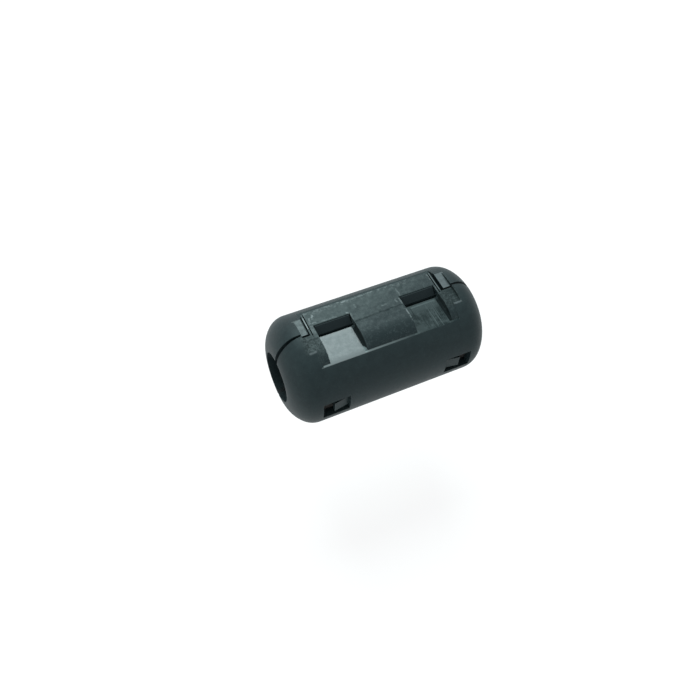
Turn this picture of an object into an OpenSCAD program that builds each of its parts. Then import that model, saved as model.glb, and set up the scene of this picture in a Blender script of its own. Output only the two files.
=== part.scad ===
// Clip-on ferrite bead: a clamshell case with two ferrite half cores
// The cable hole runs along X, the latch is on top (+Z), the front half is towards -Y

/* [Case] */
// Outside diameter of the closed case
case_d = 19.5; // [18.6:0.1:22]
// Overall length along the cable
case_len = 37.6; // [36:0.2:46]
// Diameter of the cable hole in the end walls
hole_d = 9.1; // [7:0.1:10]
// Thickness of the round wall
wall = 1.4; // [1:0.1:1.6]
// Radius of the rounded shoulder at each end
shoulder_r = 3.75; // [2.5:0.25:4.5]
// Angle to the cable at which the shoulder passes into the domed end
dome_angle = 49.1; // [40:0.5:60]
// How far the middle of the domed end lies inside the edge of the cable hole
dome_inset = 0.25; // [0.05:0.05:0.5]
// Gap between the two halves at the parting plane
parting_gap = 0.36; // [0.14:0.02:0.4]
// Angle at which the parting faces fall away towards each end
end_relief = 3; // [1:0.5:4]

/* [Inside] */
// Thickness of the end wall at the cable hole
end_wall = 1.9; // [1.5:0.1:2.2]
// Length of the empty pocket behind each end wall
pocket_len = 1.7; // [1:0.1:2.4]
// Depth of material left round the empty pocket
pocket_wall = 2.45; // [2.2:0.05:3]
// Thickness of the plates that hold the core ends
plate_t = 0.6; // [0.5:0.1:1]
// Play between a core and the case
core_play = 0.1; // [0.05:0.05:0.2]
// Height of a core across its two flats
core_h = 13.7; // [13:0.1:13.9]
// Gap between the faces of the two cores
core_gap = 0.04; // [0.02:0.02:0.1]
// How far the core bore stands back from the cable hole
core_step = 0.2; // [0.1:0.1:0.5]

/* [Latch] */
// Depth of the flat top below the round case
top_depth = 0.65; // [0.5:0.05:0.8]
// Thickness of the latch flap
flap_t = 1; // [0.8:0.05:1.1]
// Reach of the flap past the parting plane
flap_reach = 4.5; // [3.5:0.1:5]
// Gap between the flap and the back half
flap_gap = 0.15; // [0.1:0.05:0.2]
// Width of the flap's arm outside a window
arm_w = 0.5; // [0.45:0.05:0.8]
// Width of the slit at each end of the flap
slit_w = 0.2; // [0.1:0.05:0.4]
// Depth of that slit into the front half
slit_in = 0.35; // [0.3:0.05:0.6]
// Width of the guard rib beside the flap
rib_w = 0.25; // [0.25:0.05:0.5]
// Gap between a guard rib and the back half, with the flap in the middle
rib_gap = 0.25; // [0.1:0.05:0.4]
// How much shorter the guard rib is than the flap
rib_short = 0.2; // [0:0.1:1]
// How far the flap and its ribs sit off centre, towards the left end
flap_shift = 0.2; // [0:0.05:0.25]
// Width of the flat strip left outside the flap's recess
strip_w = 1.35; // [0.8:0.05:1.5]
// Distance from the parting plane to where the latch panel starts to curve down
panel_bend = 2.5; // [2.1:0.1:2.5]
// Width of the step at the lower end of the panel
ledge_w = 0.3; // [0.3:0.05:0.5]
// Length of the curved part of the panel
panel_len = 25.5; // [25:0.1:25.8]
// Distance from the middle to the near side of a window
window_near = 4.7; // [3:0.05:6]
// Length of a window along the cable
window_len = 6.7; // [5:0.05:7]
// Reach of a window past the parting plane
window_reach = 1.42; // [1.3:0.02:1.8]
// Material left under the channel below a window
channel_floor = 0.7; // [0.5:0.05:0.9]
// Size of the sloped edge between that floor and the right wall
channel_edge = 0.4; // [0.2:0.05:0.4]

/* [Catches] */
// Gap between a catch and the ends of its window
catch_side = 0.2; // [0.1:0.05:0.4]
// Gap behind the locking face of a catch
catch_play = 0.06; // [0.04:0.02:0.1]
// Flat land on top of a catch
catch_land = 0.16; // [0.1:0.02:0.4]
// How far a catch stays below the flat top
catch_drop = 0.05; // [0:0.05:0.2]

/* [Core springs] */
// Distance of a side slot from the plate at the core's end
slot_margin = 0.4; // [0.2:0.1:1]
// Length of a side slot
slot_len = 4.95; // [4.5:0.05:6]
// Height of a side slot
slot_h = 3.9; // [3.2:0.1:4.6]
// Length of the spring tongue in the slot
tongue_len = 2.85; // [2.4:0.05:3.2]
// Height of the spring tongue
tongue_h = 2.36; // [1.8:0.02:2.6]
// Depth of the tongue root below the round case
root_depth = 0.7; // [0.6:0.05:0.75]
// Depth of the tongue tip below the round case
tip_depth = 0.25; // [0.1:0.05:0.35]
// Thickness of the tongue at its tip
tip_t = 0.65; // [0.5:0.05:0.7]
// Length of the pad under the tongue
pad_len = 0.8; // [0.5:0.1:1]
// Distance from the tongue tip to its pad
pad_back = 0.4; // [0.2:0.1:0.6]

/* [Hinge] */
// Distance from the middle to the centre of a hinge web
web_x = 8; // [6:0.5:9]
// Width of a hinge web along the cable
web_w = 7; // [4:0.5:8]
// Thickness of a hinge web
web_t = 0.3; // [0.2:0.05:0.35]
// Middle radius of the loop in a hinge web
web_r = 0.3; // [0.3:0.05:0.4]
// Length of the straight legs outside the case
web_leg = 0.63; // [0.5:0.01:0.9]
// Depth of the notch that takes the end of a web
web_seat = 0.2; // [0.1:0.05:0.4]

/* [Hidden] */
$fn = 96;
case_c = [0.29, 0.31, 0.31];
core_c = [0.2, 0.19, 0.18];
// Overlap that makes a cut or a join clean
over = 0.3;
case_r = case_d / 2;
half_len = case_len / 2;
hole_r = hole_d / 2;
face = parting_gap / 2;
// Larger than the whole bead
reach = case_d + case_len;
// Centres of the shoulder arc and of the larger dome arc that meets it smoothly
shoulder_y = case_r - shoulder_r;
dome_y = hole_r - dome_inset;
dome_step = (shoulder_y - dome_y) / sin(dome_angle);
dome_r = shoulder_r + dome_step;
dome_x = half_len - dome_r;
straight = dome_x + dome_step * cos(dome_angle);
cavity_r = case_r - wall;
cavity_half = half_len - end_wall - pocket_len - plate_t;
pocket_end = half_len - end_wall;
pocket_r = case_r - pocket_wall;
core_r = cavity_r - core_play;
core_flat = core_h / 2;
cavity_flat = core_flat + core_play;
core_bore = hole_r + core_step;
slot_far = cavity_half - slot_margin;
slot_near = slot_far - slot_len;
top_z = case_r - top_depth;
window_far = window_near + window_len;
flap_half = window_far + arm_w;
rib_in = flap_half + slit_w;
rib_out = rib_in + rib_w;
recess_half = rib_out + flap_shift + rib_gap;
latch_half = recess_half + strip_w;
under_z = top_z - flap_t;
recess_z = under_z - flap_gap;
floor_z = cavity_flat + channel_floor;
panel_half = panel_len / 2;
// The panel's curve drops from the flat top to the step over this run
panel_run = sqrt(case_r * case_r - floor_z * floor_z) - ledge_w - panel_bend;
panel_drop = top_z - floor_z;
panel_r = (panel_run * panel_run + panel_drop * panel_drop) / (2 * panel_drop);
catch_z = top_z - catch_drop;
catch_y = window_reach - catch_play;
web_end = case_r - web_seat;

// A block given by its limits on each axis
module block(x, y, z) {
    translate([x[0], y[0], z[0]])
        cube([x[1] - x[0], y[1] - y[0], z[1] - z[0]]);
}

// A round bar along X between two limits
module bar(r, x0, x1) {
    translate([x0, 0, 0])
        rotate([0, 90, 0])
            cylinder(r = r, h = x1 - x0);
}

// The same thing at both ends of the bead
module both_ends() {
    children();
    mirror([1, 0, 0])
        children();
}

// Half of the section of the case: the straight wall, shoulder and dome
module end_section() {
    square([case_r, straight]);
    translate([shoulder_y, straight])
        circle(r = shoulder_r);
    intersection() {
        translate([dome_y, dome_x])
            circle(r = dome_r);
        polygon([
            [dome_y, dome_x],
            [dome_y + reach * sin(dome_angle), dome_x + reach * cos(dome_angle)],
            [0, dome_x + reach * cos(dome_angle)],
            [0, dome_x]
        ]);
    }
}

module case_body() {
    rotate([0, 90, 0])
        rotate_extrude() {
            end_section();
            mirror([0, 1])
                end_section();
        }
}

// Everything that is empty inside the closed case
module case_hollow() {
    bar(hole_r, -half_len - over, half_len + over);
    bar(core_bore, -cavity_half - plate_t - over, cavity_half + plate_t + over);
    intersection() {
        bar(cavity_r, -cavity_half, cavity_half);
        block([-half_len, half_len], [-case_r, case_r], [-cavity_flat, cavity_flat]);
    }
    both_ends()
        bar(pocket_r, cavity_half + plate_t, pocket_end);
}

// Side slots of the front half that show the core
module side_slots() {
    both_ends()
        block([slot_near, slot_far], [-reach, -hole_r - over], [-slot_h / 2, slot_h / 2]);
}

// Spring tongues of the front half with a pad that bears on the core
module tongues() {
    tip = slot_near + tongue_len;
    both_ends()
        translate([0, 0, -tongue_h / 2])
            linear_extrude(height = tongue_h)
                polygon([
                    [slot_near - over, -case_r + root_depth],
                    [slot_near, -case_r + root_depth],
                    [tip, -case_r + tip_depth],
                    [tip, -case_r + tip_depth + tip_t],
                    [tip - pad_back, -case_r + tip_depth + tip_t],
                    [tip - pad_back, -core_r - core_play / 2],
                    [tip - pad_back - pad_len, -core_r - core_play / 2],
                    [tip - pad_back - pad_len, -cavity_r - core_play / 2],
                    [slot_near - over, -cavity_r - core_play / 2]
                ]);
}

// Seats for the ends of the hinge webs
module web_seats() {
    both_ends()
        block([web_x - web_w / 2, web_x + web_w / 2],
              [-web_r - web_t / 2, web_r + web_t / 2],
              [-reach, -web_end]);
}

// Wedges that widen the gap between the halves towards each end
module parting_relief() {
    both_ends()
        translate([latch_half, -face, 0])
            rotate([0, 0, -end_relief])
                block([0, reach], [0, reach], [-reach, reach]);
}

// What both halves share, drawn for the front half
module plain_half() {
    difference() {
        case_body();
        case_hollow();
        block([-reach, reach], [-face, reach], [-reach, reach]);
        block([-latch_half, latch_half], [-reach, reach], [top_z, reach]);
        parting_relief();
        side_slots();
        web_seats();
    }
    tongues();
}

// The top of the front half falls away in a curve down to a step
module panel_cut() {
    difference() {
        block([-panel_half, panel_half], [-reach, -panel_bend], [floor_z, reach]);
        translate([0, -panel_bend, top_z - panel_r])
            bar(panel_r, -reach, reach);
    }
}

// A window and the sunk channel below it, starting at the given X on their left
module window_cut(left) {
    translate([left, 0, 0])
        rotate([90, 0, 0])
            translate([0, 0, -window_reach])
                linear_extrude(height = reach)
                    polygon([
                        [0, floor_z],
                        [window_len - channel_edge, floor_z],
                        [window_len, floor_z + channel_edge],
                        [window_len, reach],
                        [0, reach]
                    ]);
}

// The latch flap, which hooks over the catches, with a guard rib at each end
module flap() {
    translate([-flap_shift, 0, 0]) {
        block([-flap_half, flap_half], [-face - over, flap_reach], [under_z, top_z]);
        both_ends()
            block([rib_in, rib_out], [-face - over, flap_reach - rib_short], [under_z, top_z]);
    }
}

module front_shell() {
    color(case_c)
        difference() {
            union() {
                plain_half();
                flap();
            }
            panel_cut();
            window_cut(-window_far);
            window_cut(window_near);
            translate([-flap_shift, 0, 0])
                both_ends()
                    block([flap_half, rib_in], [-slit_in, reach], [under_z, reach]);
        }
}

// Wedge catches that stand in the windows of the flap
module catches() {
    both_ends()
        translate([window_near + catch_side, 0, 0])
            rotate([90, 0, 90])
                linear_extrude(height = window_len - 2 * catch_side)
                    polygon([
                        [face, recess_z - over],
                        [face, recess_z],
                        [catch_y - catch_land, catch_z],
                        [catch_y, catch_z],
                        [catch_y, recess_z - over]
                    ]);
}

module back_shell() {
    color(case_c) {
        difference() {
            mirror([0, 1, 0])
                plain_half();
            block([-recess_half, recess_half], [0, reach], [recess_z, reach]);
        }
        catches();
    }
}

// One half of the ferrite, on the front side
module half_core() {
    difference() {
        intersection() {
            bar(core_r, -cavity_half, cavity_half);
            block([-half_len, half_len], [-case_r, -core_gap / 2], [-core_flat, core_flat]);
        }
        bar(core_bore, -half_len, half_len);
    }
}

module core_front() {
    color(core_c)
        half_core();
}

module core_back() {
    color(core_c)
        mirror([0, 1, 0])
            half_core();
}

// A thin loop of case plastic that joins the two halves
module hinge_web() {
    loop_z = -case_r - web_leg;
    inner = web_r - web_t / 2;
    outer = web_r + web_t / 2;
    translate([web_x - web_w / 2, 0, 0])
        rotate([90, 0, 90])
            linear_extrude(height = web_w)
                difference() {
                    union() {
                        translate([0, loop_z])
                            circle(r = outer);
                        translate([-outer, loop_z])
                            square([2 * outer, -web_end - loop_z]);
                    }
                    translate([0, loop_z])
                        circle(r = inner);
                    translate([-inner, loop_z])
                        square([2 * inner, reach]);
                }
}

module hinge_web_right() {
    color(case_c)
        hinge_web();
}

module hinge_web_left() {
    color(case_c)
        mirror([1, 0, 0])
            hinge_web();
}

front_shell();
back_shell();
core_front();
core_back();
hinge_web_left();
hinge_web_right();
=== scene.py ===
import bpy
import bmesh
import math
from mathutils import Matrix, Vector


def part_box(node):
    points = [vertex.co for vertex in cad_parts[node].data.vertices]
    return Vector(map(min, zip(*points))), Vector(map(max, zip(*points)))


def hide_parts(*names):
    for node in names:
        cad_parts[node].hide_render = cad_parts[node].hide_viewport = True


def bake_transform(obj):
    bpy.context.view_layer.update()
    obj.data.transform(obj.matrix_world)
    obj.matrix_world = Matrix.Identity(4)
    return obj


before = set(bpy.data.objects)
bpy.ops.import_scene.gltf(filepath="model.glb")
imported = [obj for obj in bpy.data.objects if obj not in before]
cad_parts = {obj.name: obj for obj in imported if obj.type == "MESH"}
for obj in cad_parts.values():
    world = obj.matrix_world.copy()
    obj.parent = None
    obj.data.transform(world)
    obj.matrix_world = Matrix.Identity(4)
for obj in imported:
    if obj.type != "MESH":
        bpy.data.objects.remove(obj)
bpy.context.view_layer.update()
print("frame loaded")

mm = 0.001


def addNode(tree, kind, **settings):
    node = tree.nodes.new(kind)
    for key, value in settings.items():
        setattr(node, key, value)
    return node


def feed(tree, socket, value):
    if isinstance(value, bpy.types.NodeSocket):
        tree.links.new(value, socket)
    elif value is not None:
        socket.default_value = value


def maths(tree, operation, a, b=None, c=None, clamp=False):
    node = addNode(tree, "ShaderNodeMath", operation=operation, use_clamp=clamp)
    for socket, value in zip(node.inputs, (a, b, c)):
        feed(tree, socket, value)
    return node.outputs[0]


def vectorMaths(tree, operation, *values):
    node = addNode(tree, "ShaderNodeVectorMath", operation=operation)
    for socket, value in zip(node.inputs, values):
        feed(tree, socket, value)
    return node.outputs


def times(tree, a, b):
    return maths(tree, "MULTIPLY", a, b)


def plus(tree, a, b):
    return maths(tree, "ADD", a, b)


def without(tree, mask, hole):
    # the mask where the hole isn't
    return times(tree, mask, maths(tree, "SUBTRACT", 1.0, hole))


def anyOf(tree, *masks):
    total = masks[0]
    for mask in masks[1:]:
        total = maths(tree, "MAXIMUM", total, mask)
    return total


def mixSockets(tree, dataType, socketType, factor, a, b):
    node = addNode(tree, "ShaderNodeMix", data_type=dataType)
    feed(tree, node.inputs["Factor"], factor)
    for name, value in (("A", a), ("B", b)):
        feed(tree, next(s for s in node.inputs if s.name == name and s.type == socketType), value)
    return next(s for s in node.outputs if s.type == socketType)


def asColour(value):
    return (*value, 1) if isinstance(value, tuple) else value


def mixColours(tree, factor, a, b):
    return mixSockets(tree, "RGBA", "RGBA", factor, asColour(a), asColour(b))


def mixValues(tree, factor, a, b):
    return mixSockets(tree, "FLOAT", "VALUE", factor, a, b)


def remap(tree, value, low, high, least=0.0, most=1.0):
    # goes smoothly from least to most as the value goes from low to high
    node = addNode(tree, "ShaderNodeMapRange", interpolation_type="SMOOTHSTEP")
    feed(tree, node.inputs["Value"], value)
    limits = {"From Min": low, "From Max": high, "To Min": least, "To Max": most}
    for name, number in limits.items():
        feed(tree, node.inputs[name], number)
    return node.outputs["Result"]


def addNoise(tree, position, scale, detail=2.0, roughness=0.5, stretch=None):
    if stretch:
        node = addNode(tree, "ShaderNodeMapping")
        feed(tree, node.inputs["Vector"], position)
        node.inputs["Scale"].default_value = stretch
        position = node.outputs["Vector"]
    node = addNode(tree, "ShaderNodeTexNoise")
    look = {"Vector": position, "Scale": scale, "Detail": detail, "Roughness": roughness}
    for name, value in look.items():
        feed(tree, node.inputs[name], value)
    return node


def noise(tree, position, **look):
    return addNoise(tree, position, **look).outputs["Fac"]


def patches(tree, position, low, high, least=0.0, most=1.0, **look):
    return remap(tree, noise(tree, position, **look), low, high, least, most)


def splitAxes(tree, position):
    axes = addNode(tree, "ShaderNodeSeparateXYZ")
    feed(tree, axes.inputs[0], position)
    return axes.outputs


def newGroup(name, inputs, outputs):
    tree = bpy.data.node_groups.new(name, "ShaderNodeTree")
    for label, kind, value in inputs:
        socket = tree.interface.new_socket(name=label, in_out="INPUT", socket_type=kind)
        if value is not None:
            socket.default_value = value
    for label, kind in outputs:
        tree.interface.new_socket(name=label, in_out="OUTPUT", socket_type=kind)
    return tree, tree.nodes.new("NodeGroupInput").outputs, tree.nodes.new("NodeGroupOutput").inputs


def place(tree, group, **values):
    node = addNode(tree, "ShaderNodeGroup", node_tree=group)
    for key, value in values.items():
        feed(tree, node.inputs[key], value)
    return node.outputs


vectorKind = "NodeSocketVector"
floatKind = "NodeSocketFloat"


def makeMillimetres():
    tree, _, ends = newGroup("partMillimetres", [], [("Position", vectorKind)])
    coordinates = addNode(tree, "ShaderNodeTexCoord")
    scaled = addNode(tree, "ShaderNodeVectorMath", operation="SCALE")
    feed(tree, scaled.inputs[0], coordinates.outputs["Object"])
    scaled.inputs["Scale"].default_value = 1 / mm
    feed(tree, ends["Position"], scaled.outputs[0])
    return tree


def makeBoxMask():
    # 1 inside a box given by its middle and half size in mm, fading over the soft edge
    tree, starts, ends = newGroup(
        "boxMask",
        [("Position", vectorKind, None), ("Middle", vectorKind, None), ("Half Size", vectorKind, None),
         ("Soft Edge", floatKind, None)],
        [("Mask", floatKind)])
    offset = vectorMaths(tree, "SUBTRACT", starts["Position"], starts["Middle"])[0]
    distance = vectorMaths(tree, "ABSOLUTE", offset)[0]
    beyond = splitAxes(tree, vectorMaths(tree, "SUBTRACT", distance, starts["Half Size"])[0])
    fade = maths(tree, "DIVIDE", anyOf(tree, *beyond), starts["Soft Edge"])
    feed(tree, ends["Mask"], maths(tree, "SUBTRACT", 0.5, fade, clamp=True))
    return tree


mouldTexture = {
    "grainScale": 9.0,
    "mottleScale": 0.7,
    "grain": dict(detail=3, roughness=0.6),
    "mottling": dict(detail=4, low=0.3, high=0.7),
}


def makeMouldedGrain():
    # fine spark-eroded texture of the mould, with slow mottling of the tone
    values = mouldTexture
    tree, starts, ends = newGroup(
        "mouldedGrain",
        [("Position", vectorKind, None), ("Grain", floatKind, values["grainScale"]),
         ("Mottle", floatKind, values["mottleScale"])],
        [("Height", floatKind), ("Mottling", floatKind)])
    position = starts["Position"]
    feed(tree, ends["Height"], noise(tree, position, scale=starts["Grain"], **values["grain"]))
    feed(tree, ends["Mottling"], patches(tree, position, scale=starts["Mottle"], **values["mottling"]))
    return tree


handlingMarks = {
    "blotches": dict(scale=1.5, detail=4, roughness=0.65, low=0.5, high=0.72),
    "lengthwise": dict(scale=1.0, detail=3, roughness=0.6, stretch=(0.5, 5.0, 2.0), low=0.6, high=0.7),
    "across": dict(scale=1.0, detail=3, roughness=0.6, stretch=(5.5, 0.6, 2.0), low=0.6, high=0.7),
    "scratched": dict(scale=0.4, low=0.4, high=0.6),  # where the scratches lie
    "specks": dict(scale=4.5, low=0.66, high=0.74),
}


def makeRubs():
    # soft blotches, hairline scratches and specks left by handling
    tree, starts, ends = newGroup(
        "rubMarks",
        [("Position", vectorKind, None), ("Blotches", floatKind, None), ("Scratches", floatKind, None),
         ("Specks", floatKind, None)],
        [("Mask", floatKind)])
    marks = {name: patches(tree, starts["Position"], **look) for name, look in handlingMarks.items()}
    scratches = times(tree, anyOf(tree, marks["lengthwise"], marks["across"]), marks["scratched"])
    blotches = times(tree, marks["blotches"], starts["Blotches"])
    scratches = times(tree, scratches, starts["Scratches"])
    specks = times(tree, marks["specks"], starts["Specks"])
    feed(tree, ends["Mask"], anyOf(tree, blotches, scratches, specks))
    return tree


wornEdgesAndHighlights = {
    "samples": 8,
    "startsAt": 0.985,  # cosine between the rounded normal and the true one
    "fullAt": 0.8,
    "broken": dict(scale=1.3, detail=3, roughness=0.6, low=0.3, high=0.62, least=0.25),
}


def makeEdgeWearAndHighlight():
    # 1 where an edge is rounded off and rubbed pale, partly real wear and partly a painted highlight along
    # the edge
    values = wornEdgesAndHighlights
    tree, starts, ends = newGroup(
        "edgeWearAndHighlight",
        [("Position", vectorKind, None), ("Radius", floatKind, None), ("Amount", floatKind, None)],
        [("Mask", floatKind)])
    rounded = addNode(tree, "ShaderNodeBevel", samples=values["samples"])
    feed(tree, rounded.inputs["Radius"], starts["Radius"])
    surface = addNode(tree, "ShaderNodeNewGeometry")
    cosine = vectorMaths(tree, "DOT_PRODUCT", rounded.outputs[0], surface.outputs["Normal"])["Value"]
    edge = remap(tree, cosine, values["startsAt"], values["fullAt"])
    worn = times(tree, edge, patches(tree, starts["Position"], **values["broken"]))
    feed(tree, ends["Mask"], times(tree, worn, starts["Amount"]))
    return tree


partMillimetres = makeMillimetres()
boxMask = makeBoxMask()
mouldedGrain = makeMouldedGrain()
rubMarks = makeRubs()
edgeWearAndHighlight = makeEdgeWearAndHighlight()
print("shader groups built")


def newMaterial(name):
    material = bpy.data.materials.new(name)
    material.use_nodes = True
    tree = material.node_tree
    tree.nodes.clear()
    output = addNode(tree, "ShaderNodeOutputMaterial")
    shader = addNode(tree, "ShaderNodeBsdfPrincipled")
    tree.links.new(shader.outputs[0], output.inputs["Surface"])
    return material, tree, shader


usualSoftEdge = 0.05


def boxAt(tree, position, middle, half, soft=usualSoftEdge):
    values = {"Position": position, "Middle": middle, "Half Size": half, "Soft Edge": soft}
    return place(tree, boxMask, **values)["Mask"]


def boxesAt(tree, position, boxes):
    return anyOf(tree, *[boxAt(tree, position, **box) for box in boxes])


bumpStrength = 0.5


def addBump(tree, shader, height, depth):
    bump = addNode(tree, "ShaderNodeBump")
    bump.inputs["Strength"].default_value = bumpStrength
    bump.inputs["Distance"].default_value = depth
    feed(tree, bump.inputs["Height"], height)
    feed(tree, shader.inputs["Normal"], bump.outputs["Normal"])


unsteadiness = dict(scale=0.5, detail=1)
noiseMiddle = 0.5


def wavy(tree, position, slope, waver):
    # the place with y run along a slanting, unsteady line
    x, y, z = splitAxes(tree, position)
    offset = maths(tree, "SUBTRACT", noise(tree, position, **unsteadiness), noiseMiddle)
    shift = maths(tree, "MULTIPLY_ADD", x, slope, times(tree, offset, waver))
    joined = addNode(tree, "ShaderNodeCombineXYZ")
    for socket, value in zip(joined.inputs, (x, maths(tree, "SUBTRACT", y, shift), z)):
        feed(tree, socket, value)
    return joined.outputs[0]


def ragged(tree, position, scale, amount):
    # the place pushed about by noise, so that marks lose their straight edges
    cloud = addNoise(tree, position, scale).outputs["Color"]
    push = vectorMaths(tree, "MULTIPLY_ADD", cloud, (amount, amount, 0), (-amount / 2, -amount / 2, 0))[0]
    return vectorMaths(tree, "ADD", position, push)[0]


# Boxes are given by their middle and half size in mm, and their soft edge where it isn't the usual one.
# Noise is given by its scale, detail and roughness. Low and high are the range that it is cut to, and
# least and most are what it gives there.

windowX = 8.05  # mm from the middle to the middle of each window of the flap
panelZ = 9.1  # height of the panel and the flats beside it
channelZ = 7.65  # height of the channel floors

casePlastic = {
    "dark": (0.015, 0.026, 0.029),
    "light": (0.023, 0.037, 0.040),
    # the pale of handling marks and worn edges; on the edges it is partly a painted highlight
    "rubbed": (0.13, 0.17, 0.17),
    "roughness": 0.5,
    "mottledRoughness": 0.06,  # added where the mottling is palest
    "specular": 0.25,
    "specularTint": (0.86, 1, 1),
    "grainDepth": 0.012 * mm,
    "edgeRadius": 0.09 * mm,
    "edgeWearAndHighlight": 0.35,
}


def startPlastic(name):
    values = casePlastic
    material, tree, shader = newMaterial(name)
    position = place(tree, partMillimetres)["Position"]
    grain = place(tree, mouldedGrain, Position=position)
    mottling = grain["Mottling"]
    colour = mixColours(tree, mottling, values["dark"], values["light"])
    roughness = plus(tree, times(tree, mottling, values["mottledRoughness"]), values["roughness"])
    shader.inputs["Specular IOR Level"].default_value = values["specular"]
    shader.inputs["Specular Tint"].default_value = asColour(values["specularTint"])
    addBump(tree, shader, grain["Height"], values["grainDepth"])
    return material, tree, shader, position, colour, roughness


def finishPlastic(tree, shader, position, colour, roughness, rubs, clean):
    # clean is 1 where nothing touches the plastic, so it has neither rubs nor worn edges with their painted
    # highlight
    values = casePlastic
    worn = place(tree, edgeWearAndHighlight, Position=position, Radius=values["edgeRadius"], Amount=values["edgeWearAndHighlight"])
    # handling marks and worn edges go pale, the edges partly as a painted highlight
    marks = without(tree, anyOf(tree, rubs, worn["Mask"]), clean)
    feed(tree, shader.inputs["Base Color"], mixColours(tree, marks, colour, values["rubbed"]))
    feed(tree, shader.inputs["Roughness"], roughness)


latchPanel = {
    "dark": (0.014, 0.025, 0.028),
    "light": (0.056, 0.077, 0.078),
    # pale, for painted highlights and for scuffs
    "pale": (0.36, 0.41, 0.41),
    "shade": (0.007, 0.013, 0.014),
    "roughness": 0.5,
    "unevenRoughness": dict(scale=1.1, detail=3, roughness=0.6, low=0.3, high=0.7, least=-0.09, most=0.09),
    "shadeRoughness": 0.45,  # added where the panel is shaded
    "area": dict(middle=(-0.2, -0.7, panelZ), half=(12.9, 5.5, 1.5)),
    "palerFarther": 0.045,  # added to the tone for each mm towards the far lip
    "palerRight": -0.02,  # and to the right
    "drop": dict(low=-0.8, high=0.1, least=-0.05, most=0.04),  # across the witness line
    "fineMottling": dict(scale=1.6, detail=4, roughness=0.7),
    "fineShare": 0.75,
    "slowMottling": dict(scale=0.45, detail=3),
    "slowShare": 0.35,
    "toneRange": (0.4, 0.82),
    "witnessLine": dict(middle=(-0.2, -0.3, panelZ), half=(4.7, 0.09, 0.1), soft=0.32),
    "witnessPath": dict(slope=0.035, waver=0.5),
    "witnessShadeStrength": 0.65,
    # painted shadow along the far rim of each window
    "rimShadows": [
        dict(middle=(x, 1.48, panelZ), half=(3.4, 0.07, 0.06), soft=0.06)
        for x in (-windowX, windowX)
    ],
    "rimShadowStrength": 0.8,
    # patches of painted highlight along the far lip
    "farLip": dict(middle=(-2.0, 4.3, panelZ), half=(10.5, 0.4, 0.2), soft=0.8),
    "lipHighlights": dict(scale=1.6, detail=3, roughness=0.6, low=0.5, high=0.62, most=0.45),
    "scuffRaggedness": dict(scale=1.8, amount=0.5),
    "scuffHeight": 0.15,
    "scuffEdge": 0.2,
    "scuffBreaks": dict(scale=3.2, detail=3, roughness=0.6, low=0.34, high=0.58, least=0.15),
    # middle x and y of each pale scuff or painted highlight in mm, half its size along and across the
    # cable, and its strength
    "scuffsAndHighlights": [
        (-2.9, 4.22, 1.9, 0.07, 0.65), (-4.6, 4.2, 0.35, 0.13, 1.0), (0.1, 4.3, 0.8, 0.09, 0.5),
        (-5.65, 4.4, 0.2, 0.08, 0.7), (-5.05, 1.78, 0.2, 0.12, 0.9), (-8.5, 1.8, 1.5, 0.06, 0.5),
        (-10.7, 3.5, 0.14, 0.25, 1.0), (-10.95, 3.1, 0.14, 0.25, 0.9), (-11.5, 2.8, 0.12, 0.3, 0.8),
        (-11.75, 2.3, 0.12, 0.3, 0.8), (-11.1, 1.95, 0.4, 0.08, 0.6), (-11.75, 0.4, 0.25, 1.3, 0.3),
        (5.0, 2.5, 0.08, 0.8, 0.5), (4.55, 0.6, 0.08, 0.6, 0.6), (-4.58, 0.75, 0.07, 0.6, 0.45),
        (4.62, -2.9, 0.1, 1.7, 0.7), (11.6, 3.4, 0.08, 0.7, 0.45), (11.6, 0.6, 0.08, 0.6, 0.4),
        (3.9, 1.0, 0.1, 0.35, 0.4), (-3.2, 2.6, 0.12, 0.4, 0.3), (1.5, 0.9, 0.5, 0.12, 0.3),
        (12.3, -1.9, 0.12, 0.25, 0.7), (13.3, -2.0, 0.25, 0.1, 0.6),
        (13.7, -2.8, 0.1, 0.2, 0.5), (12.2, -1.0, 0.1, 0.15, 0.5),
    ],
}


# pale marks that are partly handling scuffs and partly painted highlights along the far lip and along edges
def scuffAndHighlightMask(tree, position):
    values = latchPanel
    uneven = ragged(tree, position, **values["scuffRaggedness"])
    marks = []
    for x, y, along, across, strength in values["scuffsAndHighlights"]:
        half = (along, across, values["scuffHeight"])
        mark = boxAt(tree, uneven, (x, y, panelZ), half, values["scuffEdge"])
        marks.append(times(tree, mark, strength))
    return times(tree, anyOf(tree, *marks), patches(tree, position, **values["scuffBreaks"]))


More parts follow.
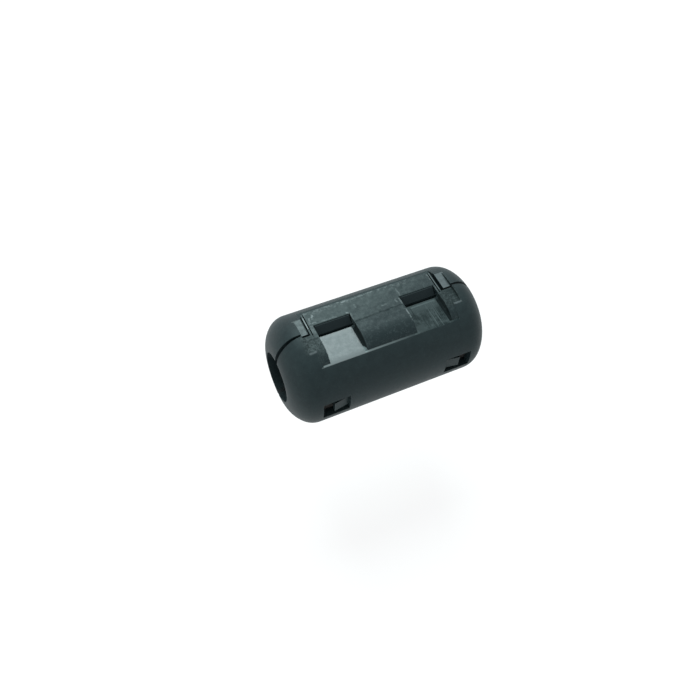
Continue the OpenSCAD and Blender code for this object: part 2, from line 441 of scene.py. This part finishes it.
def paintPanel(tree, position, x, y, colour, roughness):
    # paler towards the far lip and the left end, with painted shade along a witness line of the mould and
    # the windows' far rims, painted highlights along the far lip, and pale marks that are partly handling
    # scuffs and partly painted highlights
    values = latchPanel
    panel = boxAt(tree, position, **values["area"])
    drift = maths(tree, "MULTIPLY_ADD", y, values["palerFarther"], times(tree, x, values["palerRight"]))
    drift = plus(tree, drift, remap(tree, y, **values["drop"]))
    slow = times(tree, noise(tree, position, **values["slowMottling"]), values["slowShare"])
    fine = noise(tree, position, **values["fineMottling"])
    tone = maths(tree, "MULTIPLY_ADD", fine, values["fineShare"], slow)
    tone = remap(tree, plus(tree, tone, drift), *values["toneRange"])
    colour = mixColours(tree, panel, colour, mixColours(tree, tone, values["dark"], values["light"]))
    roughness = mixValues(tree, panel, roughness, values["roughness"])
    # painted shade along the witness line and the far rims of the windows
    witness = boxAt(tree, wavy(tree, position, **values["witnessPath"]), **values["witnessLine"])
    shaded = anyOf(tree, times(tree, witness, values["witnessShadeStrength"]),
                   times(tree, boxesAt(tree, position, values["rimShadows"]), values["rimShadowStrength"]))
    colour = mixColours(tree, shaded, colour, values["shade"])
    # painted highlights in patches along the far lip
    farLip = boxAt(tree, position, **values["farLip"])
    lipHighlights = times(tree, farLip, patches(tree, position, **values["lipHighlights"]))
    colour = mixColours(tree, anyOf(tree, lipHighlights, scuffAndHighlightMask(tree, position)), colour, values["pale"])
    uneven = plus(tree, patches(tree, position, **values["unevenRoughness"]),
                  times(tree, shaded, values["shadeRoughness"]))
    return colour, plus(tree, roughness, times(tree, panel, uneven)), panel


# the walls of the channels and the windows' far walls are painted dark as shade
shadedChannelWalls = {
    "colour": (0.004, 0.009, 0.010),
    "roughness": 0.8,
    "places": [
        dict(middle=(-4.87, -3.4, 8.4), half=(0.22, 2.7, 0.74), soft=0.02),
        dict(middle=(11.22, -3.4, 8.4), half=(0.23, 2.7, 0.74), soft=0.02),
        *[dict(middle=(x, 1.46, 8.55), half=(3.45, 0.07, 0.5), soft=0.04) for x in (-windowX, windowX)],
    ],
}

leftFloorSheen = {
    "colour": (0.162, 0.183, 0.186),
    "pale": (0.31, 0.325, 0.325),
    "roughness": 0.17,
    "dullRoughness": 0.36,
    "area": dict(middle=(-8.2, -3.1, channelZ), half=(3.8, 3.1, 0.03), soft=0.02),
    "clouds": dict(scale=0.9, detail=4, roughness=0.65, low=0.35, high=0.68, most=0.5),
    "raggedness": dict(scale=0.9, amount=0.5),
    "edges": [
        dict(middle=(-5.22, -2.0, channelZ), half=(0.1, 1.7, 0.1), soft=0.3),
        dict(middle=(-10.8, -2.2, channelZ), half=(0.12, 1.9, 0.1), soft=0.6),
        dict(middle=(-8.0, -0.5, channelZ), half=(3.2, 0.25, 0.1), soft=0.8),
    ],
    "edgeStrength": 0.85,
    "dull": dict(low=-4.6, high=-5.9),  # mm along y, from where the floor turns dull to the ledge
    "flareColour": (0.235, 0.305, 0.305),
    "flareStrength": 0.8,
    "flareArea": dict(middle=(-4.9, -5.2, 7.8), half=(0.25, 0.75, 0.3), soft=0.02),
    "flareLean": 0.36,  # how far the flare's edge moves left for each mm towards the far lip
    "flareOffset": 6.72,
    "flareEdge": (0.08, -0.06),
}


def paintLeftFloorSheen(tree, position, x, y, colour):
    # polished, with a painted reflection as its colour: brighter along its edges, duller towards the ledge,
    # and flared out at the foot of its wall
    values = leftFloorSheen
    floor = boxAt(tree, position, **values["area"])
    uneven = ragged(tree, position, **values["raggedness"])
    edges = times(tree, boxesAt(tree, uneven, values["edges"]), values["edgeStrength"])
    dull = remap(tree, y, **values["dull"])
    paintedSheen = without(tree, anyOf(tree, patches(tree, position, **values["clouds"]), edges), dull)
    flare = maths(tree, "MULTIPLY_ADD", y, values["flareLean"], plus(tree, x, values["flareOffset"]))
    flare = remap(tree, flare, *values["flareEdge"])
    flare = times(tree, flare, boxAt(tree, position, **values["flareArea"]))
    polished = anyOf(tree, floor, flare)
    # painted reflection of the polished floor
    colour = mixColours(tree, polished, colour, mixColours(tree, paintedSheen, values["colour"], values["pale"]))
    colour = mixColours(tree, times(tree, flare, values["flareStrength"]), colour, values["flareColour"])
    return colour, mixValues(tree, dull, values["roughness"], values["dullRoughness"]), floor, polished


rightFloor = {
    "colour": (0.010, 0.019, 0.020),
    "scraped": (0.105, 0.138, 0.140),
    "roughness": 0.75,
    "scrapedRoughness": 0.42,
    "area": dict(middle=(7.9, -3.1, channelZ), half=(3.8, 3.1, 0.03), soft=0.02),
    "lines": dict(scale=1.0, detail=5, roughness=0.75, stretch=(5.0, 0.09, 1.0), low=0.46, high=0.66),
    "linesAlong": dict(low=5.4, high=9.3, least=0.2, most=0.75),
    "blots": dict(scale=0.8, detail=3, roughness=0.6, low=0.4, high=0.68, most=0.4),
    "blotsAcross": dict(low=-2.6, high=-1.4, most=0.4),
    "bandPath": dict(slope=0.0, waver=0.3),
    "band": dict(middle=(8.4, -0.66, channelZ), half=(2.4, 0.16, 0.1), soft=0.3),
    "footRaggedness": dict(scale=1.2, amount=0.6),
    "foot": dict(middle=(5.6, -5.2, channelZ), half=(0.9, 0.7, 0.1), soft=0.8),
    "footStrength": 0.5,
    # a painted shadow line near the floor's left corner, left unscraped and dark
    "cornerShadow": dict(middle=(5.95, -1.9, channelZ), half=(0.07, 1.3, 0.1), soft=0.12),
}


def paintRightFloor(tree, position, x, y, colour):
    # rough, and scraped in straight lines towards its right side, with a painted shadow line near its left
    # corner
    values = rightFloor
    floor = boxAt(tree, position, **values["area"])
    lines = times(tree, patches(tree, position, **values["lines"]), remap(tree, x, **values["linesAlong"]))
    blots = anyOf(tree, patches(tree, position, **values["blots"]), remap(tree, y, **values["blotsAcross"]))
    band = boxAt(tree, wavy(tree, position, **values["bandPath"]), **values["band"])
    foot = boxAt(tree, ragged(tree, position, **values["footRaggedness"]), **values["foot"])
    scraped = anyOf(tree, lines, blots, band, times(tree, foot, values["footStrength"]))
    # nothing is scraped along the painted shadow line
    scraped = without(tree, scraped, boxAt(tree, position, **values["cornerShadow"]))
    colour = mixColours(tree, floor, colour, mixColours(tree, scraped, values["colour"], values["scraped"]))
    return colour, mixValues(tree, scraped, values["roughness"], values["scrapedRoughness"]), floor


ledgeEdgeHighlight = {
    "area": dict(middle=(-0.2, -5.9, channelZ), half=(12.9, 0.3, 0.05), soft=0.04),
    "paintedHighlight": dict(low=8.0, high=-9.0, most=0.4),
    "roughness": dict(low=-2.0, high=9.0, least=0.42, most=0.8),
}


def paintChannels(tree, position, x, y, colour, roughness):
    # painted shade on the walls of the channels and windows
    shadedWalls = boxesAt(tree, position, shadedChannelWalls["places"])
    colour = mixColours(tree, shadedWalls, colour, shadedChannelWalls["colour"])
    colour, leftRoughness, left, polished = paintLeftFloorSheen(tree, position, x, y, colour)
    colour, rightRoughness, right = paintRightFloor(tree, position, x, y, colour)
    roughness = mixValues(tree, polished, roughness, leftRoughness)
    roughness = mixValues(tree, right, roughness, rightRoughness)
    roughness = mixValues(tree, shadedWalls, roughness, shadedChannelWalls["roughness"])
    # the edge of the ledge gets a painted highlight that is paler towards the left, and it is smoother
    # towards the left
    edge = without(tree, boxAt(tree, position, **ledgeEdgeHighlight["area"]), left)
    paintedHighlight = times(tree, edge, remap(tree, x, **ledgeEdgeHighlight["paintedHighlight"]))
    colour = mixColours(tree, paintedHighlight, colour, latchPanel["pale"])
    roughness = mixValues(tree, edge, roughness, remap(tree, x, **ledgeEdgeHighlight["roughness"]))
    return colour, roughness, anyOf(tree, left, shadedWalls)


endFlats = {
    "smooth": (0.012, 0.021, 0.022),
    "rough": (0.060, 0.080, 0.081),
    "roughness": (0.7, 0.5),  # of the smooth and of the rough places
    "raggedness": dict(scale=1.2, amount=0.6),
    "places": [
        dict(middle=(-13.0, -1.9, panelZ), half=(1.6, 1.7, 1.2), soft=0.8),
        dict(middle=(12.9, -1.9, panelZ), half=(1.5, 1.7, 1.2), soft=0.6),
    ],
    "grit": dict(scale=2.2, detail=4, roughness=0.75),
    "gritRight": -0.003,  # added to the grit for each mm to the right
    "gritRange": (0.42, 0.66),
    "crease": (0.26, 0.30, 0.31),
    "creaseStrength": 0.7,
    "creaseRaggedness": dict(scale=1.6, amount=0.3),
    "creases": [
        dict(middle=(-13.6, -3.6, panelZ), half=(0.6, 0.1, 0.25), soft=0.25),
        dict(middle=(13.6, -3.55, panelZ), half=(0.75, 0.1, 0.25), soft=0.25),
    ],
    "rib": (0.42, 0.47, 0.47),
    "leftRib": dict(middle=(-12.42, 2.4, panelZ), half=(0.07, 1.2, 0.06), soft=0.1),
    "rightRib": dict(middle=(12.0, 2.2, panelZ), half=(0.05, 2.0, 0.06), soft=0.1),
    "rightRibStrength": 0.5,
}


def paintFlats(tree, position, x, colour, roughness):
    # the flats beside the panel stay as rough as they left the mould, and their lower creases are rubbed
    # and carry a painted highlight
    values = endFlats
    flats = boxesAt(tree, ragged(tree, position, **values["raggedness"]), values["places"])
    grit = maths(tree, "MULTIPLY_ADD", x, values["gritRight"], noise(tree, position, **values["grit"]))
    grit = remap(tree, grit, *values["gritRange"])
    colour = mixColours(tree, flats, colour, mixColours(tree, grit, values["smooth"], values["rough"]))
    roughness = mixValues(tree, flats, roughness, mixValues(tree, grit, *values["roughness"]))
    # painted highlight along the lower creases of the flats, partly rubbing
    creases = boxesAt(tree, ragged(tree, position, **values["creaseRaggedness"]), values["creases"])
    colour = mixColours(tree, times(tree, creases, values["creaseStrength"]), colour, values["crease"])
    # painted highlights along the tops of the ribs beside the flap
    rightRib = times(tree, boxAt(tree, position, **values["rightRib"]), values["rightRibStrength"])
    ribs = anyOf(tree, boxAt(tree, position, **values["leftRib"]), rightRib)
    return mixColours(tree, ribs, colour, values["rib"]), roughness


frontHandling = {
    "body": dict(Blotches=0.05, Scratches=0.06, Specks=0.12),
    "panel": dict(Blotches=0.3, Scratches=0.3, Specks=0.45),
}


def makeFrontPlastic():
    material, tree, shader, position, colour, roughness = startPlastic("frontHalfPlastic")
    x, y, _ = splitAxes(tree, position)
    colour, roughness, panel = paintPanel(tree, position, x, y, colour, roughness)
    colour, roughness, clean = paintChannels(tree, position, x, y, colour, roughness)
    colour, roughness = paintFlats(tree, position, x, colour, roughness)
    quiet = place(tree, rubMarks, Position=position, **frontHandling["body"])["Mask"]
    busy = place(tree, rubMarks, Position=position, **frontHandling["panel"])["Mask"]
    finishPlastic(tree, shader, position, colour, roughness, mixValues(tree, panel, quiet, busy), clean)
    return material


# the pale end strips are a painted sheen of the same plastic
endStrips = {
    "leftColour": (0.139, 0.168, 0.170),
    "leftArea": dict(middle=(-13.7, 1.9, panelZ), half=(0.75, 1.9, 0.04), soft=0.04),
    "rightColour": (0.148, 0.175, 0.182),
    "rightArea": dict(middle=(13.6, 1.9, panelZ), half=(0.9, 1.9, 0.04), soft=0.04),
    "dull": 0.7,  # how much of its tone a dull patch keeps
    "roughness": 0.43,
    "shinyRoughness": -0.1,  # added where it is shiny
    "patches": dict(scale=1.7, detail=4, roughness=0.7, low=0.36, high=0.62),
}

catchFaces = {
    "colour": (0.017, 0.026, 0.029),
    "roughness": 0.72,
    "places": [dict(middle=(x, 0.2, 8.5), half=(3.5, 1.3, 0.7)) for x in (-windowX, windowX)],
}

backHandling = dict(Blotches=0.08, Scratches=0.08, Specks=0.15)


def paintStripSheen(tree, position, colour, roughness):
    # painted sheen: the strips' colour stands for the reflection on these smooth flats, brighter in the
    # shiny patches
    values = endStrips
    shiny = patches(tree, position, **values["patches"])
    left = boxAt(tree, position, **values["leftArea"])
    right = boxAt(tree, position, **values["rightArea"])
    for strip, tone in ((left, values["leftColour"]), (right, values["rightColour"])):
        dull = tuple(part * values["dull"] for part in tone)
        colour = mixColours(tree, strip, colour, mixColours(tree, shiny, dull, tone))
    uneven = plus(tree, times(tree, shiny, values["shinyRoughness"]), values["roughness"])
    return colour, mixValues(tree, anyOf(tree, left, right), roughness, uneven)


def paintCatches(tree, position, colour, roughness):
    # the catches stay as they left the mould, matt and dark
    values = catchFaces
    catches = boxesAt(tree, position, values["places"])
    colour = mixColours(tree, catches, colour, values["colour"])
    return colour, mixValues(tree, catches, roughness, values["roughness"]), catches


def makeBackPlastic():
    material, tree, shader, position, colour, roughness = startPlastic("backHalfPlastic")
    colour, roughness = paintStripSheen(tree, position, colour, roughness)
    colour, roughness, catches = paintCatches(tree, position, colour, roughness)
    rubs = place(tree, rubMarks, Position=position, **backHandling)["Mask"]
    finishPlastic(tree, shader, position, colour, roughness, rubs, catches)
    return material


ferriteCore = {
    "colour": (0.030, 0.028, 0.026),
    "dust": (0.075, 0.07, 0.066),
    "ground": (0.060, 0.060, 0.060),
    "chipped": (0.14, 0.135, 0.13),
    "roughness": 0.7,
    "mottledRoughness": 0.12,  # added where the mottling is palest
    "groundRoughness": 0.38,
    "texture": dict(Grain=14.0, Mottle=1.2),
    "grainDepth": 0.01 * mm,
    "dustPatches": dict(scale=3.0, detail=4, roughness=0.6, low=0.45, high=0.75),
    "matingPlane": dict(middle=(0, 0, 0), half=(20, 0.05, 20), soft=0.02),
    "grindingLines": dict(scale=1.0, detail=3, roughness=0.6, stretch=(0.3, 1.0, 9.0), low=0.35, high=0.65),
    "chips": dict(Radius=0.12 * mm, Amount=0.4),
}


def makeFerrite():
    values = ferriteCore
    material, tree, shader = newMaterial("sinteredFerrite")
    position = place(tree, partMillimetres)["Position"]
    grain = place(tree, mouldedGrain, Position=position, **values["texture"])
    dust = patches(tree, position, **values["dustPatches"])
    colour = mixColours(tree, dust, values["colour"], values["dust"])
    mottling = times(tree, grain["Mottling"], values["mottledRoughness"])
    roughness = plus(tree, mottling, values["roughness"])
    # the mating faces are ground flat, with fine lines along the cable
    mating = boxAt(tree, position, **values["matingPlane"])
    lines = patches(tree, position, **values["grindingLines"])
    colour = mixColours(tree, mating, colour, mixColours(tree, lines, values["colour"], values["ground"]))
    roughness = mixValues(tree, mating, roughness, values["groundRoughness"])
    chips = place(tree, edgeWearAndHighlight, Position=position, **values["chips"])["Mask"]
    feed(tree, shader.inputs["Base Color"], mixColours(tree, chips, colour, values["chipped"]))
    feed(tree, shader.inputs["Roughness"], roughness)
    addBump(tree, shader, grain["Height"], values["grainDepth"])
    return material


frontPlastic = makeFrontPlastic()
backPlastic = makeBackPlastic()
ferrite = makeFerrite()
print("materials made")


def dress(node, material):
    if not node.material_slots:
        node.data.materials.append(material)
    for slot in node.material_slots:
        slot.material = material


dress(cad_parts["front_shell"], frontPlastic)
dress(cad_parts["back_shell"], backPlastic)
dress(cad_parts["core_front"], ferrite)
dress(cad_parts["core_back"], ferrite)
print("shells and cores dressed")

hingeWeb = {
    "thickness": 0.3 * mm,
    "bendRadius": 0.3 * mm,
    "legSteps": 4,
    "loopSteps": 24,
    "rows": 14,  # along the cable
    "sharpAngle": 40,  # degrees
}


def webPath(top, loopZ):
    # middle line from the back half's leg round to the front half's, with the direction of its thickness
    values = hingeWeb
    radius, legs = values["bendRadius"], values["legSteps"]
    points = [(radius, top + (loopZ - top) * i / legs, (1, 0)) for i in range(legs)]
    for i in range(values["loopSteps"] + 1):
        angle = math.pi * i / values["loopSteps"]
        y, z = math.cos(angle), -math.sin(angle)
        points.append((radius * y, loopZ + radius * z, (y, z)))
    points += [(-radius, loopZ + (top - loopZ) * (i + 1) / legs, (-1, 0)) for i in range(legs)]
    return points


def makeWebMesh(name, low, high):
    values = hingeWeb
    half = values["thickness"] / 2
    points = webPath(high.z, low.z + values["bendRadius"] + half)
    mesh = bmesh.new()
    grid = []
    for row in range(values["rows"] + 1):
        x = low.x + (high.x - low.x) * row / values["rows"]
        grid.append([[mesh.verts.new((x, y + side * half * ny, z + side * half * nz)) for side in (-1, 1)]
                     for y, z, (ny, nz) in points])
    last = len(points) - 1
    for a, b in zip(grid, grid[1:]):
        for i in range(last):
            for side in (0, 1):
                mesh.faces.new((a[i][side], a[i + 1][side], b[i + 1][side], b[i][side]))
        for i in (0, last):
            mesh.faces.new((a[i][0], a[i][1], b[i][1], b[i][0]))
    for row in (grid[0], grid[-1]):
        for i in range(last):
            mesh.faces.new((row[i][0], row[i][1], row[i + 1][1], row[i + 1][0]))
    bmesh.ops.recalc_face_normals(mesh, faces=mesh.faces[:])
    data = bpy.data.meshes.new(name)
    mesh.to_mesh(data)
    mesh.free()
    data.shade_smooth()
    data.set_sharp_from_angle(angle=math.radians(values["sharpAngle"]))
    return data


def addObject(name, data):
    thing = bpy.data.objects.new(name, data)
    bpy.context.scene.collection.objects.link(thing)
    return thing


def makeHingeWeb(name, node):
    low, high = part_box(node)
    web = addObject(name, makeWebMesh(name, low, high))
    web.data.materials.append(backPlastic)
    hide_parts(node)
    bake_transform(web)


makeHingeWeb("hingeWebLeft", "hinge_web_left")
makeHingeWeb("hingeWebRight", "hinge_web_right")
print("hinge webs made")

studio = {
    "floorZ": -34 * mm,
    "floorSize": 6.0,
    "floor": (0.86, 0.86, 0.86),
    "floorRoughness": 0.9,
    "floorSpecular": 0.1,
    "sweepGlow": 0.86,
    "sweepShade": (0.3, 0.3, 0.3),  # the share of the sweep that still takes a shadow
    "ambient": (0.85, 0.95, 1),
    "ambientLevel": 0.24,
    "lampColour": (0.87, 0.99, 1),
    # the level of a soft box is its radiance
    "softBoxes": {
        "softBoxBack": dict(direction=(0.06, 0.52, 0.85), distance=0.9, width=0.5, height=0.5, level=7.5),
        "softBoxLeft": dict(direction=(-0.92, -0.2, 0.35), distance=0.9, width=0.6, height=0.6, level=0.75),
    },
}


def seenRays(tree):
    # 1 for the rays that see the floor or the world, and 0 for those that light the bead
    light = addNode(tree, "ShaderNodeLightPath").outputs
    return anyOf(tree, light["Is Camera Ray"], light["Is Glossy Ray"], light["Is Transmission Ray"])


def mixShaders(tree, factor, a, b):
    mix = addNode(tree, "ShaderNodeMixShader")
    for socket, value in zip(mix.inputs, (factor, a, b)):
        feed(tree, socket, value)
    return mix.outputs[0]


def makeFloor():
    values = studio
    mesh = bpy.data.meshes.new("floor")
    h, z = values["floorSize"] / 2, values["floorZ"]
    mesh.from_pydata([(-h, -h, z), (h, -h, z), (h, h, z), (-h, h, z)], [], [(0, 1, 2, 3)])
    material, tree, shader = newMaterial("paleFloor")
    shader.inputs["Base Color"].default_value = asColour(values["floor"])
    shader.inputs["Roughness"].default_value = values["floorRoughness"]
    shader.inputs["Specular IOR Level"].default_value = values["floorSpecular"]
    # where it is seen, the floor is a white sweep that keeps a faint shadow
    glow = addNode(tree, "ShaderNodeEmission")
    glow.inputs["Strength"].default_value = values["sweepGlow"]
    faint = addNode(tree, "ShaderNodeBsdfDiffuse")
    faint.inputs["Color"].default_value = asColour(values["sweepShade"])
    sweep = addNode(tree, "ShaderNodeAddShader")
    feed(tree, sweep.inputs[0], glow.outputs[0])
    feed(tree, sweep.inputs[1], faint.outputs[0])
    output = next(n for n in tree.nodes if n.type == "OUTPUT_MATERIAL")
    surface = mixShaders(tree, seenRays(tree), shader.outputs[0], sweep.outputs[0])
    feed(tree, output.inputs["Surface"], surface)
    mesh.materials.append(material)
    floor = addObject("floor", mesh)


def makeWorld():
    world = bpy.data.worlds.new("studioWorld")
    bpy.context.scene.world = world
    world.use_nodes = True
    tree = world.node_tree
    tree.nodes.clear()
    output = addNode(tree, "ShaderNodeOutputWorld")
    ambient = addNode(tree, "ShaderNodeBackground")
    ambient.inputs["Color"].default_value = asColour(studio["ambient"])
    ambient.inputs["Strength"].default_value = studio["ambientLevel"]
    white = addNode(tree, "ShaderNodeBackground")
    white.inputs["Color"].default_value = (1, 1, 1, 1)
    surface = mixShaders(tree, seenRays(tree), ambient.outputs[0], white.outputs[0])
    feed(tree, output.inputs["Surface"], surface)


def makeSoftBox(name, direction, distance, width, height, level):
    # the power for a radiance is level * pi * area, for a lamp that shines from one side
    lamp = bpy.data.lights.new(name, "AREA")
    lamp.shape = "RECTANGLE"
    lamp.size, lamp.size_y = width, height
    lamp.energy = level * math.pi * width * height
    lamp.color = studio["lampColour"]
    holder = addObject(name, lamp)
    towards = Vector(direction).normalized()
    holder.location = towards * distance
    holder.rotation_mode = "QUATERNION"
    holder.rotation_quaternion = towards.to_track_quat("Z", "Y")


makeFloor()
makeWorld()
for name, box in studio["softBoxes"].items():
    makeSoftBox(name, **box)
print("studio lit")

cameraView = {
    "azimuth": -29.056,
    "elevation": 54.497,
    "roll": 4.799,
    "place": (-42.114 * mm, -67.082 * mm, 108.001 * mm),
    "sensor": 36,
    "lens": 38.35,
    "clip": (0.002, 20),
}


def makeCamera():
    values = cameraView
    data = bpy.data.cameras.new("camera")
    data.sensor_width = values["sensor"]
    data.lens = values["lens"]
    data.clip_start, data.clip_end = values["clip"]
    camera = addObject("camera", data)
    turn = (Matrix.Rotation(math.radians(values["azimuth"]), 4, "Z")
            @ Matrix.Rotation(math.radians(90 - values["elevation"]), 4, "X")
            @ Matrix.Rotation(math.radians(values["roll"]), 4, "Z"))
    camera.matrix_world = Matrix.Translation(values["place"]) @ turn
    bpy.context.scene.camera = camera


makeCamera()
bpy.context.scene.view_settings.view_transform = "Standard"
